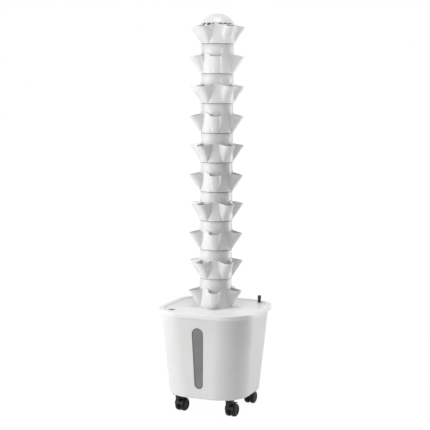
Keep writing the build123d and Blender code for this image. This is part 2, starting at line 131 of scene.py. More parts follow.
# %% A group with named sockets
FLOAT = "NodeSocketFloat"


def new_group(name, kind, inputs, outputs):
    """A node group with named sockets: (tree, its input wires by name, its output node)."""
    tree = bpy.data.node_groups.new(name, kind)
    for title, (socket, value) in inputs.items():
        made = tree.interface.new_socket(title, in_out="INPUT", socket_type=socket)
        if value is not None:
            made.default_value = value
    for title, socket in outputs.items():
        tree.interface.new_socket(title, in_out="OUTPUT", socket_type=socket)
    entry = tree.nodes.new("NodeGroupInput")
    wires = {title: Wire(tree, entry.outputs[title]) for title in inputs}
    return tree, wires, tree.nodes.new("NodeGroupOutput")


def object_place(tree):
    """The vector socket of a point of the piece, in the piece's own coordinates."""
    return tree.nodes.new("ShaderNodeTexCoord").outputs["Object"]


def split(tree, vector):
    """The three numbers of a vector socket, as wires."""
    parts = add_node(tree, "ShaderNodeSeparateXYZ", Vector=vector)
    return [Wire(tree, parts.outputs[axis]) for axis in "XYZ"]


print("helpers for groups")

# %% [markdown]
# ## Moulded skin
# Injection-moulded plastic is never quite even: the steel mould leaves a fine grain, and the flow of
# the melt leaves broad, faint clouds. One group gives both, as a mask, a roughness and a height, so
# every plastic on the tower can share it with its own values. A scanned texture would be finer, but it
# would be a picture, and it would fit only one size.

# %% Shader group: moulded skin
CLOUD_EDGES = (0.3, 0.7)

skin, skin_in, skin_out = new_group(
    "moulded_skin", "ShaderNodeTree",
    {"Cloud Scale": (FLOAT, 9.0), "Grain Scale": (FLOAT, 900.0), "Smooth": (FLOAT, 0.3),
     "Rough": (FLOAT, 0.4)},
    {"Clouds": FLOAT, "Roughness": FLOAT, "Height": FLOAT})
place = object_place(skin)
clouds = add_node(skin, "ShaderNodeTexNoise", Vector=place, Scale=skin_in["Cloud Scale"], Detail=4.0,
                  Roughness=0.55)
grain = add_node(skin, "ShaderNodeTexNoise", Vector=place, Scale=skin_in["Grain Scale"], Detail=2.0)
cloud_mask = Wire(skin, clouds.outputs["Fac"]).ramp(*CLOUD_EDGES)
rough_span = skin_in["Rough"] - skin_in["Smooth"]
feed(skin, skin_out.inputs["Clouds"], cloud_mask)
feed(skin, skin_out.inputs["Roughness"], skin_in["Smooth"] + rough_span * cloud_mask)
feed(skin, skin_out.inputs["Height"], grain.outputs["Fac"])
print("group", skin.name, [socket.name for socket in skin.interface.items_tree])

# %% [markdown]
# ## Handling marks
# Casters and tanks get knocked and dusty first near the floor. The second group draws short upright
# scuffs, which are a noise stretched along the height, and a haze of dust that thins out upwards.
# Painting the marks would be freer, but a rule serves every piece at its own place.

# %% Shader group: handling marks
SCUFF_STRETCH = (1.0, 1.0, 0.22)
SCUFF_EDGES = (0.62, 0.72)
SPECKLE_SCALE = 140.0
SPECKLE_EDGES = (0.4, 0.7)

marks, marks_in, marks_out = new_group(
    "handling_marks", "ShaderNodeTree",
    {"Scuff Scale": (FLOAT, 60.0), "Scuff Amount": (FLOAT, 0.3), "Dust Height": (FLOAT, 0.1),
     "Dust Amount": (FLOAT, 0.3)},
    {"Scuffs": FLOAT, "Dust": FLOAT})
place = object_place(marks)
drawn_out = add_node(marks, "ShaderNodeMapping", Vector=place, Scale=SCUFF_STRETCH)
streaks = add_node(marks, "ShaderNodeTexNoise", Vector=drawn_out.outputs[0],
                   Scale=marks_in["Scuff Scale"], Detail=6.0, Roughness=0.7)
scuff_mask = Wire(marks, streaks.outputs["Fac"]).ramp(*SCUFF_EDGES) * marks_in["Scuff Amount"]
height = split(marks, place)[2]
speckles = add_node(marks, "ShaderNodeTexNoise", Vector=place, Scale=SPECKLE_SCALE, Detail=5.0)
speckle_mask = Wire(marks, speckles.outputs["Fac"]).ramp(*SPECKLE_EDGES)
low_down = height.ramp(marks_in["Dust Height"], 0.0)
feed(marks, marks_out.inputs["Scuffs"], scuff_mask)
feed(marks, marks_out.inputs["Dust"], low_down * speckle_mask * marks_in["Dust Amount"])
print("group", marks.name, [socket.name for socket in marks.interface.items_tree])

# %% [markdown]
# ## From groups to a finish
# Each finish is a Principled shader with its own colours, fed by the two groups: the clouds mix two
# close tones, the scuffs show a worn tone, and the dust lies over both and dulls the gloss. What is the
# same all over a surface, such as the coat, is set on the shader itself.

# %% A finish from the two groups
DUST_COLOUR = (0.45, 0.43, 0.40, 1.0)
DUST_ROUGHENS = 0.4
GRAIN_STRENGTH = 0.6
COAT_ROUGHNESS = 0.15


def grey(value, warm=0.0):
    """A neutral colour, a little warmer where the second number is above zero."""
    return (value, value * (1 - warm), value * (1 - 2 * warm), 1.0)


def mix_colour(tree, mask, first, second):
    """The first colour where the mask is 0, and the second where it is 1."""
    node = add_node(tree, "ShaderNodeMix", {"data_type": "RGBA"})
    feed(tree, node.inputs["Factor"], mask)
    feed(tree, node.inputs["A"], first)
    feed(tree, node.inputs["B"], second)
    return node.outputs["Result"]


def moulded_finish(name, light, dark, smooth, rough, grain_scale, grain_depth, cloud_scale=9.0,
                   scuff=0.0, dust=0.0, dust_height=0.1, worn=grey(0.5), coat=0.0, metallic=0.0,
                   gloss=0.5):
    """Plastic, rubber, paint or steel with clouds, a grain, scuffs and dust."""
    material = bpy.data.materials.new(name)
    material.use_nodes = True
    tree = material.node_tree
    shader = tree.nodes["Principled BSDF"]
    surface = add_node(tree, "ShaderNodeGroup", {"node_tree": skin}, Cloud_Scale=cloud_scale,
                       Grain_Scale=grain_scale, Smooth=smooth, Rough=rough)
    wear = add_node(tree, "ShaderNodeGroup", {"node_tree": marks}, Scuff_Amount=scuff, Dust_Amount=dust,
                    Dust_Height=dust_height)
    colour = mix_colour(tree, surface.outputs["Clouds"], dark, light)
    colour = mix_colour(tree, wear.outputs["Scuffs"], colour, worn)
    colour = mix_colour(tree, wear.outputs["Dust"], colour, DUST_COLOUR)
    bump = add_node(tree, "ShaderNodeBump", Height=surface.outputs["Height"], Distance=grain_depth,
                    Strength=GRAIN_STRENGTH)
    dulled = Wire(tree, wear.outputs["Dust"]) * DUST_ROUGHENS
    feed(tree, shader.inputs["Base Color"], colour)
    feed(tree, shader.inputs["Roughness"], Wire(tree, surface.outputs["Roughness"]) + dulled)
    feed(tree, shader.inputs["Normal"], bump.outputs["Normal"])
    shader.inputs["Coat Weight"].default_value = coat
    shader.inputs["Coat Roughness"].default_value = COAT_ROUGHNESS
    shader.inputs["Metallic"].default_value = metallic
    shader.inputs["Specular IOR Level"].default_value = gloss
    return material


print("a finish mixes", skin.name, "and", marks.name)

# %% [markdown]
# ## White, smoke and black
# The tower is one white plastic, but its pieces aren't the same white: the tank is large and a little
# duller, the lid is the lightest, and the layers come from another mould with a shallower grain. The
# black of the casters keeps a low gloss, so that it doesn't look like wet paint. A table of values is
# easier to compare than fifteen separate materials. The grain's depth is in metres.

# %% The finishes of the tower
FINISHES = {
    "tower_white": dict(light=grey(0.84, 0.004), dark=grey(0.80, 0.006), smooth=0.28, rough=0.38,
                        grain_scale=1100.0, grain_depth=0.00006),
    "tank_white": dict(light=grey(0.83, 0.004), dark=grey(0.79, 0.006), smooth=0.32, rough=0.44,
                       grain_scale=1400.0, grain_depth=0.00008, cloud_scale=5.0, scuff=0.05,
                       worn=grey(0.62, 0.01), dust=0.12, dust_height=0.10),
    "lid_white": dict(light=grey(0.88, 0.004), dark=grey(0.85, 0.006), smooth=0.32, rough=0.44,
                      grain_scale=1400.0, grain_depth=0.00008, cloud_scale=5.0, scuff=0.04,
                      worn=grey(0.68, 0.01)),
    "pipe_white": dict(light=grey(0.80), dark=grey(0.74, 0.01), smooth=0.30, rough=0.42,
                       grain_scale=700.0, grain_depth=0.00005),
    "float_foam": dict(light=grey(0.82, 0.01), dark=grey(0.72, 0.02), smooth=0.7, rough=0.85,
                       grain_scale=420.0, grain_depth=0.0003, cloud_scale=60.0),
    "window_smoke": dict(light=grey(0.21), dark=grey(0.18), smooth=0.16, rough=0.24,
                         grain_scale=1600.0, grain_depth=0.00002, cloud_scale=14.0, coat=0.4),
    "caster_black": dict(light=grey(0.016), dark=grey(0.010), smooth=0.42, rough=0.58,
                         grain_scale=1300.0, grain_depth=0.0001, scuff=0.25, worn=grey(0.05),
                         dust=0.08, dust_height=0.05, gloss=0.25),
    "wheel_black": dict(light=grey(0.014), dark=grey(0.008), smooth=0.45, rough=0.62,
                        grain_scale=1000.0, grain_depth=0.0001, cloud_scale=40.0, scuff=0.3,
                        worn=grey(0.05), dust=0.12, dust_height=0.02, gloss=0.2),
    "plate_black": dict(light=grey(0.022), dark=grey(0.014), smooth=0.30, rough=0.45,
                        grain_scale=2200.0, grain_depth=0.00005, scuff=0.3, worn=grey(0.12), gloss=0.3),
    "gauge_black": dict(light=grey(0.035), dark=grey(0.022), smooth=0.35, rough=0.5,
                        grain_scale=1200.0, grain_depth=0.00006),
    "seal_rubber": dict(light=grey(0.030), dark=grey(0.020), smooth=0.65, rough=0.8,
                        grain_scale=900.0, grain_depth=0.0002, dust=0.2),
    "pump_black": dict(light=grey(0.034), dark=grey(0.022), smooth=0.36, rough=0.5,
                       grain_scale=1500.0, grain_depth=0.00012, scuff=0.2, worn=grey(0.08)),
    "impeller_grey": dict(light=grey(0.55), dark=grey(0.48), smooth=0.4, rough=0.55,
                          grain_scale=900.0, grain_depth=0.00006),
    "bare_steel": dict(light=grey(0.60), dark=grey(0.50), smooth=0.25, rough=0.4,
                       grain_scale=1800.0, grain_depth=0.00004, cloud_scale=80.0, scuff=0.3,
                       worn=grey(0.4), metallic=1.0),
}
FINISHES["layer_white"] = FINISHES["tower_white"]
finishes = {name: moulded_finish(name, **values) for name, values in FINISHES.items()}
print(len(finishes), "finishes:", ", ".join(finishes))

# %% [markdown]
# ## Level window
# The window is smoky plastic set in a recess, and the recess's wall throws shade on the lens along its
# edge. That shade is painted into the colour as a darker edge, and the edge is a rule: a radius that
# grows from a lower circle to an upper one, less the distance from the line between their centres. A
# painted mask would need a picture.

# %% Painted shade along the edge of the level window
LENS_LOW_RADIUS = 0.0155
LENS_HIGH_RADIUS = 0.0208
LENS_FLANGE = 0.0069
LENS_EDGE = 0.0034
EDGE_SHADE_GREY = grey(0.09)


def tint(material, mask, colour):
    """Lays a colour over a finish where the mask is 1."""
    tree = material.node_tree
    base = tree.nodes["Principled BSDF"].inputs["Base Color"]
    feed(tree, base, mix_colour(tree, mask, base.links[0].from_socket, colour))


lens_low, lens_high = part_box("window_lens")
low_centre = lens_low[2] + LENS_LOW_RADIUS + LENS_FLANGE
high_centre = lens_high[2] - LENS_HIGH_RADIUS - LENS_FLANGE
tree = finishes["window_smoke"].node_tree
across, _, up = split(tree, object_place(tree))
above = up - low_centre
share = (above / (high_centre - low_centre)).step("MAXIMUM", 0.0).step("MINIMUM", 1.0)
along = above - share * (high_centre - low_centre)
radius = share * (LENS_HIGH_RADIUS - LENS_LOW_RADIUS) + LENS_LOW_RADIUS
inside = radius - (across * across + along * along).step("SQRT")
# painted shade: the darker edge stands in for the recess wall's shadow on the lens
tint(finishes["window_smoke"], inside.ramp(LENS_EDGE, LENS_EDGE / 2), EDGE_SHADE_GREY)
print("window edge", round(LENS_EDGE * 1000, 1), "mm wide")

# %% [markdown]
# ## Steps of the lid
# The lid's recess and the round dais in it are shallow, with gentle slopes between the levels. The shade
# that falls along these slopes is painted into the colour as a faint grey, which draws the steps. The
# slopes are found by their normal, which points straight up on every level part, and only inside the
# recess, a square with round corners, so that the rim's own rounding stays clean.

# %% Painted shade on the lid's slopes
STEP_SHADE_STRAIGHT = 0.072
STEP_SHADE_CORNER = 0.087
STEP_SHADE_GREY = grey(0.72, 0.004)
LEVEL_NORMAL = 0.995
SLOPE_NORMAL = 0.90

tree = finishes["lid_white"].node_tree
past_x, past_y = [(side.step("ABSOLUTE") - STEP_SHADE_STRAIGHT).step("MAXIMUM", 0.0)
                  for side in split(tree, object_place(tree))[:2]]
in_recess = (past_x * past_x + past_y * past_y).step("LESS_THAN", STEP_SHADE_CORNER ** 2)
upward = split(tree, tree.nodes.new("ShaderNodeNewGeometry").outputs["Normal"])[2]
# painted shade: a grey on the slopes between the lid's levels, and its reach is printed below
tint(finishes["lid_white"], upward.ramp(LEVEL_NORMAL, SLOPE_NORMAL) * in_recess, STEP_SHADE_GREY)
print("haze up to", round((STEP_SHADE_STRAIGHT + STEP_SHADE_CORNER) * 1000), "mm from the middle")

# %% [markdown]
# ## Every piece gets its finish
# The pieces of the construction come with good shapes and a plain colour. Single pieces are found by
# their whole name, those of the four casters by how the name ends, and the layers and the rest of the
# pump by how it starts. What is left are pipes and fittings.

# %% Finishes by name
BY_NAME = {"reservoir_tank": "tank_white", "reservoir_lid": "lid_white", "tower_cap": "tower_white",
           "window_lens": "window_smoke", "window_gasket": "seal_rubber", "cable_grommet": "seal_rubber",
           "pump_feet": "seal_rubber", "gauge_rod": "gauge_black", "gauge_float": "float_foam",
           "pump_impeller": "impeller_grey", "pump_shaft": "bare_steel", "caster_screws": "bare_steel"}
BY_ENDING = {"_plate": "plate_black", "_yoke": "caster_black", "_axle": "bare_steel",
             "_wheel_a": "wheel_black", "_wheel_b": "wheel_black"}
BY_START = {"planting_layer": "tower_white", "pump": "pump_black"}


def finish_of(node):
    """The name of a piece's finish, by the piece's own name."""
    if node in BY_NAME:
        return BY_NAME[node]
    for ending, finish in BY_ENDING.items():
        if node.endswith(ending):
            return finish
    for start, finish in BY_START.items():
        if node.startswith(start):
            return finish
    return "pipe_white"


for name, piece in nodes.items():
    piece.data.materials.clear()
    piece.data.materials.append(finishes[finish_of(name)])
print("finishes on", len(nodes), "pieces")

# %% [markdown]
# ## Planting layers
# A layer is one thin moulding: a spigot, a ring, and five pockets that swell out of the ring like petals.
# Its shape follows a rule. At every height a pocket's section is a rounded half oval that stands on the
# ring, wider and further out the higher it is, and between two pockets the ring itself shows as a web. So
# a node tree can bend two flat grids into the layer, with its sizes as inputs, and all ten layers share
# it. Modelling one petal by hand and copying it would leave seams.

# %% Sizes of a layer
LAYER_SIZES = {"Tube Radius": 0.0550, "Ring Radius": 0.0572, "Spigot End": -0.0600, "Web Height": 0.0700,
               "Pocket Reach": 0.0960, "Tip Height": 0.0556, "Root Height": 0.0630,
               "Foot Half Width": 0.0060, "Mouth Half Width": 0.0225, "Mouth Height": 0.0500,
               "Roundness": 2.5, "Oval Share": 0.75, "Groove Height": 0.0018, "Groove Depth": 0.0030,
               "Turn": 0.0, "Seat": 0.0}
LAYER_COUNTS = {"Pockets": 5, "Around": 320, "Rows": 26, "Neck Rows": 5}

layer_inputs = {title: (FLOAT, value) for title, value in LAYER_SIZES.items()}
layer_inputs.update({title: ("NodeSocketInt", value) for title, value in LAYER_COUNTS.items()})
layer_inputs["Finish"] = ("NodeSocketMaterial", None)
layer_tree, sizes, layer_out = new_group("planting_layer_rule", "GeometryNodeTree", layer_inputs,
                                         {"Geometry": "NodeSocketGeometry"})
print("rule of a layer with", len(layer_inputs), "inputs")

# %% [markdown]
# ## Outline of a layer
# Seen from above, a layer's outline at one height goes out along a pocket's oval, back to the ring, and
# along the web to the next pocket. A place from -1 to 1 says where on it a point is. The places are
# shared out between oval and web so that, with 64 columns to a pocket, the crease between them lies on a
# column and stays crisp. The roundness makes the oval fuller than an ellipse, as the real pockets are.

# %% Outline of a layer at a height
WEB_STARTS = 0.001


def web_share(place):
    """0 on a pocket, and from 0 at its crease to 1 at the middle of the web."""
    beyond = (place.step("ABSOLUTE") - sizes["Oval Share"]).step("MAXIMUM", 0.0)
    return beyond / (1.0 - sizes["Oval Share"])


def layer_section(place, height):
    """How far out and how far sideways from a pocket's middle line the outline is.

    The place runs from -1 to 1 between the middles of the two webs beside the pocket.
    """
    ring = sizes["Ring Radius"]
    reach = ring.towards(sizes["Pocket Reach"], height / sizes["Tip Height"])
    below = 1.0 - (height / sizes["Mouth Height"]).step("MINIMUM", 1.0)
    half = sizes["Mouth Half Width"].towards(sizes["Foot Half Width"], below * below)
    chord = (ring * ring - half * half).step("SQRT")
    sweep = (place.step("ABSOLUTE") / sizes["Oval Share"]).step("MINIMUM", 1.0) * (pi / 2)
    bulge = (sizes["Roundness"] / 2.0).step("POWER", -1.0)
    oval_out = chord.towards(reach, sweep.step("COSINE").step("MAXIMUM", 0.0).step("POWER", bulge))
    oval_side = half * sweep.step("SINE").step("POWER", bulge)
    crease_angle = (half / ring).step("ARCSINE")
    web_angle = crease_angle.towards(sizes["Pockets"].step("POWER", -1.0) * pi, web_share(place))
    on_web = web_share(place).step("GREATER_THAN", WEB_STARTS)
    out = oval_out.towards(ring * web_angle.step("COSINE"), on_web)
    side = oval_side.towards(ring * web_angle.step("SINE"), on_web)
    return out, side * place.step("SIGN")


print("outline of", LAYER_COUNTS["Pockets"], "pockets and webs")

# %% [markdown]
# ## From a flat grid to a layer
# A flat grid has all the points that are needed, in columns and rows. Each column belongs to the nearest
# pocket, and a rule says where its point goes beside that pocket. Turning the result by the pocket's
# bearing closes the grid round the axis. The first and last column fall together and are merged later.

# %% A grid bent round the axis


def bent_grid(rows, rule):
    """A grid bent around the axis: a rule turns a place beside a pocket and a row into a point."""
    grid = add_node(layer_tree, "GeometryNodeMeshGrid", Size_X=1.0, Size_Y=1.0,
                    Vertices_X=sizes["Around"] + 1.0, Vertices_Y=rows + 1.0)
    flat_x, flat_y, _ = split(layer_tree, layer_tree.nodes.new("GeometryNodeInputPosition").outputs[0])
    along = (flat_x + 0.5) * sizes["Pockets"]
    row = ((flat_y + 0.5) * rows).step("ROUND")
    pocket = along.step("ROUND")
    out, side, height = rule((along - pocket) * 2.0, row)
    bearing = pocket / sizes["Pockets"] * (2 * pi) + sizes["Turn"]
    across, ahead = bearing.step("SINE"), bearing.step("COSINE")
    point = add_node(layer_tree, "ShaderNodeCombineXYZ", X=out * ahead - side * across,
                     Y=out * across + side * ahead, Z=height + sizes["Seat"])
    moved = add_node(layer_tree, "GeometryNodeSetPosition", Geometry=grid.outputs["Mesh"],
                     Position=point.outputs[0])
    return moved.outputs["Geometry"]


print("grids of", LAYER_COUNTS["Around"], "columns")

# %% [markdown]
# ## Neck of a layer
# The neck is the plain tube that plugs into the layer or the collar below. Its last two rows make a small
# groove right under the ring, where the joint between two real layers shows as a line. The neck's columns
# stand under those of the ring, so the two grids can be joined point to point.

# %% Rule of the neck
foot = layer_tree.nodes.new("ShaderNodeValue")
foot.outputs[0].default_value = 0.0
ring_foot = Wire(layer_tree, foot.outputs[0])


def on_tube(place, radius):
    """The point of a plain tube under a place of the ring's foot."""
    out, side = layer_section(place, ring_foot)
    shrink = radius / (out * out + side * side).step("SQRT")
    return out * shrink, side * shrink


def neck_rule(place, row):
    """The tube, with a groove in its last two rows, right under the ring."""
    climb = (row / (sizes["Neck Rows"] - 2.0)).step("MINIMUM", 1.0)
    in_groove = row.step("GREATER_THAN", sizes["Neck Rows"] - 1.5)
    at_top = row.step("GREATER_THAN", sizes["Neck Rows"] - 0.5)
    out, side = on_tube(place, sizes["Tube Radius"] - sizes["Groove Depth"] * in_groove)
    height = sizes["Spigot End"].towards(sizes["Groove Height"] * -1.0, climb)
    return out, side, height + sizes["Groove Height"] * at_top


print("neck down to", LAYER_SIZES["Spigot End"] * 1000, "mm")

# %% [markdown]
# ## Flare of a layer
# Above the ring the wall climbs to a rim, which is low at a pocket's tip and runs up to the web in one
# curve. The rim's height depends on how far out the wall is there, and that depends on the height, so
# the rule looks twice: once at the tip's height, and once more at the height that this gives.

# %% Rule of the flare


def rim_over(out):
    """The height of a pocket's sloping rim at a distance out."""
    slope = (sizes["Root Height"] - sizes["Tip Height"]) / (sizes["Pocket Reach"] - sizes["Ring Radius"])
    return sizes["Tip Height"] + (sizes["Pocket Reach"] - out) * slope


def flare_rule(place, row):
    """Row 0 closes the step under the ring, and the other rows climb to the rim."""
    first_out, _ = layer_section(place, sizes["Tip Height"])
    edge_out, _ = layer_section(place, rim_over(first_out))
    rim = rim_over(edge_out).towards(sizes["Web Height"], web_share(place).ramp(0.0, 1.0))
    height = rim * ((row - 1.0).step("MAXIMUM", 0.0) / (sizes["Rows"] - 1.0))
    out, side = layer_section(place, height)
    under_out, under_side = on_tube(place, sizes["Tube Radius"] - sizes["Groove Depth"])
    on_step = row.step("LESS_THAN", 0.5)
    return out.towards(under_out, on_step), side.towards(under_side, on_step), height


print("rim from", LAYER_SIZES["Tip Height"] * 1000, "to", LAYER_SIZES["Web Height"] * 1000, "mm")

# %% [markdown]
# ## One skin
# Flare and neck are joined and merged where they meet, so the layer is one skin without a thickness. The
# tree ends with its finish. The wall comes later, from a modifier.

# %% Join the flare and the neck
MERGE_WITHIN = 0.00001

joined = layer_tree.nodes.new("GeometryNodeJoinGeometry")
for part in (bent_grid(sizes["Rows"], flare_rule), bent_grid(sizes["Neck Rows"], neck_rule)):
    layer_tree.links.new(part, joined.inputs[0])
whole = add_node(layer_tree, "GeometryNodeMergeByDistance", Geometry=joined.outputs[0],
                 Distance=MERGE_WITHIN)
real = add_node(layer_tree, "GeometryNodeRealizeInstances", Geometry=whole.outputs[0])
dressed = add_node(layer_tree, "GeometryNodeSetMaterial", Geometry=real.outputs[0],
                   Material=sizes["Finish"])
feed(layer_tree, layer_out.inputs["Geometry"], dressed.outputs[0])
print("rule of a layer:", len(layer_tree.nodes), "nodes")

# %% [markdown]
# ## Gap under the rings
# Where one layer plugs into the next, a thin gap runs round under the ring, and it looks dark because
# little light comes back out of it. The groove has the gap's place but not its depth, so its finish is
# darker at just these heights. The rule repeats with the pitch of the layers, so one finish serves all
# ten. A deeper groove would do it too, but it would narrow the inside of the layer.

# %% Dark gaps in the layers' finish
GAP_GREY = grey(0.30)
GAP_SPARE = 0.0002

layers = sorted(name for name in nodes if name.startswith("planting_layer"))
seats = {node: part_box(node)[0][2] - LAYER_SIZES["Spigot End"] for node in layers}
lowest = min(seats.values())
pitch = (max(seats.values()) - lowest) / (len(seats) - 1)
tree = finishes["layer_white"].node_tree
up = split(tree, object_place(tree))[2]
under_ring = (1.0 - ((up - (lowest + GAP_SPARE)) / pitch).step("FRACT")) * pitch
in_gap = under_ring.step("LESS_THAN", LAYER_SIZES["Groove Height"] + 2 * GAP_SPARE)
tint(finishes["layer_white"], in_gap, GAP_GREY)
print("gaps every", round(pitch * 1000, 1), "mm")

# %% [markdown]
# ## From a rule to a plain mesh
# A node tree needs an object to live on. An empty object is enough: its modifier gets the tree and the
# sizes, and Blender fills it. The result is then copied to a plain mesh, smooth but with its sharp edges
# kept, and the empty object goes away, so nothing is left to be worked out again.

# %% Grow an object and make it plain
SHARP_ANGLE = radians(38)


def grown(name, tree, values):
    """An empty object that a node tree fills, with its inputs set by the sockets' identifiers."""
    seed = bpy.data.objects.new(name + "_seed", bpy.data.meshes.new(name + "_seed"))
    bpy.context.scene.collection.objects.link(seed)
    modifier = seed.modifiers.new("rule", "NODES")
    modifier.node_group = tree
    for socket in tree.interface.items_tree:
        if socket.in_out == "INPUT" and socket.name in values:
            modifier[socket.identifier] = values[socket.name]
    return seed


def plain_mesh(name, source):
    """The evaluated mesh of an object, on a new object without modifiers."""
    bpy.context.view_layer.update()
    graph = bpy.context.evaluated_depsgraph_get()
    mesh = bpy.data.meshes.new_from_object(source.evaluated_get(graph))
    mesh.name = name
    mesh.polygons.foreach_set("use_smooth", [True] * len(mesh.polygons))
    mesh.set_sharp_from_angle(angle=SHARP_ANGLE)
    made = bpy.data.objects.new(name, mesh)
    bpy.context.scene.collection.objects.link(made)
    bpy.data.objects.remove(source)
    return made


print("helpers for meshes")

# %% [markdown]
# ## Ten layers
# Every second layer is turned by half a turn, so that its pockets stand over the webs of the next one.
# Solidify gives the skin its wall, inwards, and a narrow bevel rounds the lips, as a mould does. Each
# shell takes the place of a layer of the construction in what is seen.

# %% Ten layers from the rule
LAYER_WALL = 0.0020
LIP_ROUND = 0.0006
LIP_STEPS = 2

for number, node in enumerate(layers):
    seed = grown(node, layer_tree, {"Seat": seats[node], "Turn": 0.0 if number % 2 else pi,
                                    "Finish": finishes["layer_white"]})
    wall = seed.modifiers.new("wall", "SOLIDIFY")
    wall.thickness = LAYER_WALL
    wall.offset = -1
    lip = seed.modifiers.new("lip", "BEVEL")
    lip.width = LIP_ROUND
    lip.segments = LIP_STEPS
    lip.angle_limit = SHARP_ANGLE
    shell = plain_mesh(node.replace("layer", "shell"), seed)
    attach(shell, "tower")
    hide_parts(node)
print(len(layers), "layers of", len(shell.data.polygons), "faces")

# %% [markdown]
# ## Screws under the tank
# Sixteen screws hold the four caster plates. Each has a low domed head with a cross recess, which shows
# from below. The tree makes one screw, sets four of it on a small square and that set on the square of
# the casters, so a change of one size changes them all.

# %% Sizes of a screw
SCREW_SIZES = {"Head Radius": 0.0035, "Head Height": 0.0024, "Shank Radius": 0.0015,
               "Shank Length": 0.0110, "Recess Length": 0.0038, "Recess Width": 0.0009,
               "Recess Depth": 0.0012, "Screw Spread": 0.0280, "Caster Spread": 0.1860, "Seat": 0.0}

screw_inputs = {title: (FLOAT, value) for title, value in SCREW_SIZES.items()}
screw_inputs["Finish"] = ("NodeSocketMaterial", None)
screw_tree, screw, screw_out = new_group("caster_screw_rule", "GeometryNodeTree", screw_inputs,
                                         {"Geometry": "NodeSocketGeometry"})


def triple(x, y, z):
    """Three numbers as one vector."""
    return add_node(screw_tree, "ShaderNodeCombineXYZ", X=x, Y=y, Z=z).outputs[0]


def placed(geometry, where, scale=(1.0, 1.0, 1.0)):
    """The geometry scaled and moved."""
    return add_node(screw_tree, "GeometryNodeTransform", Geometry=geometry, Translation=where,
                    Scale=scale).outputs[0]


def block(wide, deep, tall, z):
    """A block with its middle on the axis at a height."""
    made = add_node(screw_tree, "GeometryNodeMeshCube", Size=triple(wide, deep, tall))
    return placed(made.outputs["Mesh"], triple(0.0, 0.0, z))


print("rule of a screw with", len(screw_inputs), "inputs")

# %% [markdown]
# ## One screw
# The head is the lower half of a flattened ball, because the screws are driven from below. One block
# takes its upper half away, and two thin ones cut the cross. The shank is a plain pin, since its thread
# is hidden in the tank's floor.

# %% One screw
BALL_SEGMENTS = 24
BALL_RINGS = 12
SHANK_SIDES = 12

head_radius, head_height = screw["Head Radius"], screw["Head Height"]
ball = add_node(screw_tree, "GeometryNodeMeshUVSphere", Segments=BALL_SEGMENTS, Rings=BALL_RINGS,
                Radius=1.0)
dome = placed(ball.outputs["Mesh"], triple(0.0, 0.0, 0.0), triple(head_radius, head_radius, head_height))
recess_tall = screw["Recess Depth"] * 2.0
cutters = [block(head_radius * 4.0, head_radius * 4.0, head_height * 2.0, head_height),
           block(screw["Recess Length"], screw["Recess Width"], recess_tall, head_height * -1.0),
           block(screw["Recess Width"], screw["Recess Length"], recess_tall, head_height * -1.0)]
head = add_node(screw_tree, "GeometryNodeMeshBoolean", {"operation": "DIFFERENCE"}, Mesh_1=dome)
for cutter in cutters:
    screw_tree.links.new(cutter, head.inputs["Mesh 2"])
pin = add_node(screw_tree, "GeometryNodeMeshCylinder", Vertices=SHANK_SIDES, Radius=screw["Shank Radius"],
               Depth=screw["Shank Length"])
shank = placed(pin.outputs["Mesh"], triple(0.0, 0.0, screw["Shank Length"] * 0.5))
one_screw = screw_tree.nodes.new("GeometryNodeJoinGeometry")
for part in (head.outputs["Mesh"], shank):
    screw_tree.links.new(part, one_screw.inputs[0])
print("one screw:", len(screw_tree.nodes), "nodes")

# %% [markdown]
# ## Sixteen screws
# A grid of two by two points is a square, and setting a screw on each of its points gives four. The same
# again with the four, on the wide square of the casters, gives sixteen.

# %% Sixteen screws from the rule
CORNERS = 4


def square_of(geometry, spread):
    """The geometry on the four corners of a square."""
    corners = add_node(screw_tree, "GeometryNodeMeshGrid", Size_X=spread, Size_Y=spread, Vertices_X=2,
                       Vertices_Y=2)
    return add_node(screw_tree, "GeometryNodeInstanceOnPoints", Points=corners.outputs["Mesh"],
                    Instance=geometry).outputs[0]


sixteen = square_of(square_of(one_screw.outputs[0], screw["Screw Spread"]), screw["Caster Spread"])
real = add_node(screw_tree, "GeometryNodeRealizeInstances",
                Geometry=placed(sixteen, triple(0.0, 0.0, screw["Seat"])))
dressed = add_node(screw_tree, "GeometryNodeSetMaterial", Geometry=real.outputs[0],
                   Material=screw["Finish"])
feed(screw_tree, screw_out.inputs["Geometry"], dressed.outputs[0])

screw_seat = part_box("caster_screws")[0][2] + SCREW_SIZES["Head Height"]
screws = plain_mesh("caster_screw_set", grown("caster_screw_set", screw_tree, {
    "Seat": screw_seat, "Finish": finishes["bare_steel"]}))
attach(screws, "base")
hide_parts("caster_screws")
print("sixteen screws of", len(screws.data.polygons) // CORNERS ** 2, "faces")

# %% [markdown]
# ## Paper floor
# The tower stands on white paper. In a studio it would sweep up behind the object. Here one wide flat
# sheet is enough, because the sky behind it is the same white.

# %% Paper floor
FLOOR_HALF = 30.0

floor_corners = [(x * FLOOR_HALF, y * FLOOR_HALF, 0) for x, y in ((-1, -1), (1, -1), (1, 1), (-1, 1))]
floor_mesh = bpy.data.meshes.new("studio_floor")
floor_mesh.from_pydata(floor_corners, [], [(0, 1, 2, 3)])
floor = bpy.data.objects.new("studio_floor", floor_mesh)
bpy.context.scene.collection.objects.link(floor)
print("paper floor", 2 * FLOOR_HALF, "m wide")

# %% [markdown]
# ## White of the paper
# The paper has to look plain white, and it must still take a trace of shadow and throw light back. More
# light on it would also bleach the tower, so the paper glows, but only where it is looked at, directly or
# in a reflection: just under white near the tower, where a faint shading on top can show a shadow, and
# white further off, so that no line is left where it meets the sky.

# %% White of the paper
PAPER_GLOW = 0.97
PAPER_SHADE = 0.06
PAPER_NEAR = 2.0
PAPER_FAR = 7.0
FLOOR_BOUNCE = 0.75
WHITE = grey(1.0)


def seen_directly(tree):
    """1 where a camera, mirror or glass ray looks straight at the surface."""
    path = tree.nodes.new("ShaderNodeLightPath")
    seen = Wire(tree, path.outputs["Is Camera Ray"])
    for ray in ("Is Glossy Ray", "Is Transmission Ray"):
        seen = seen.step("MAXIMUM", path.outputs[ray])
    return seen


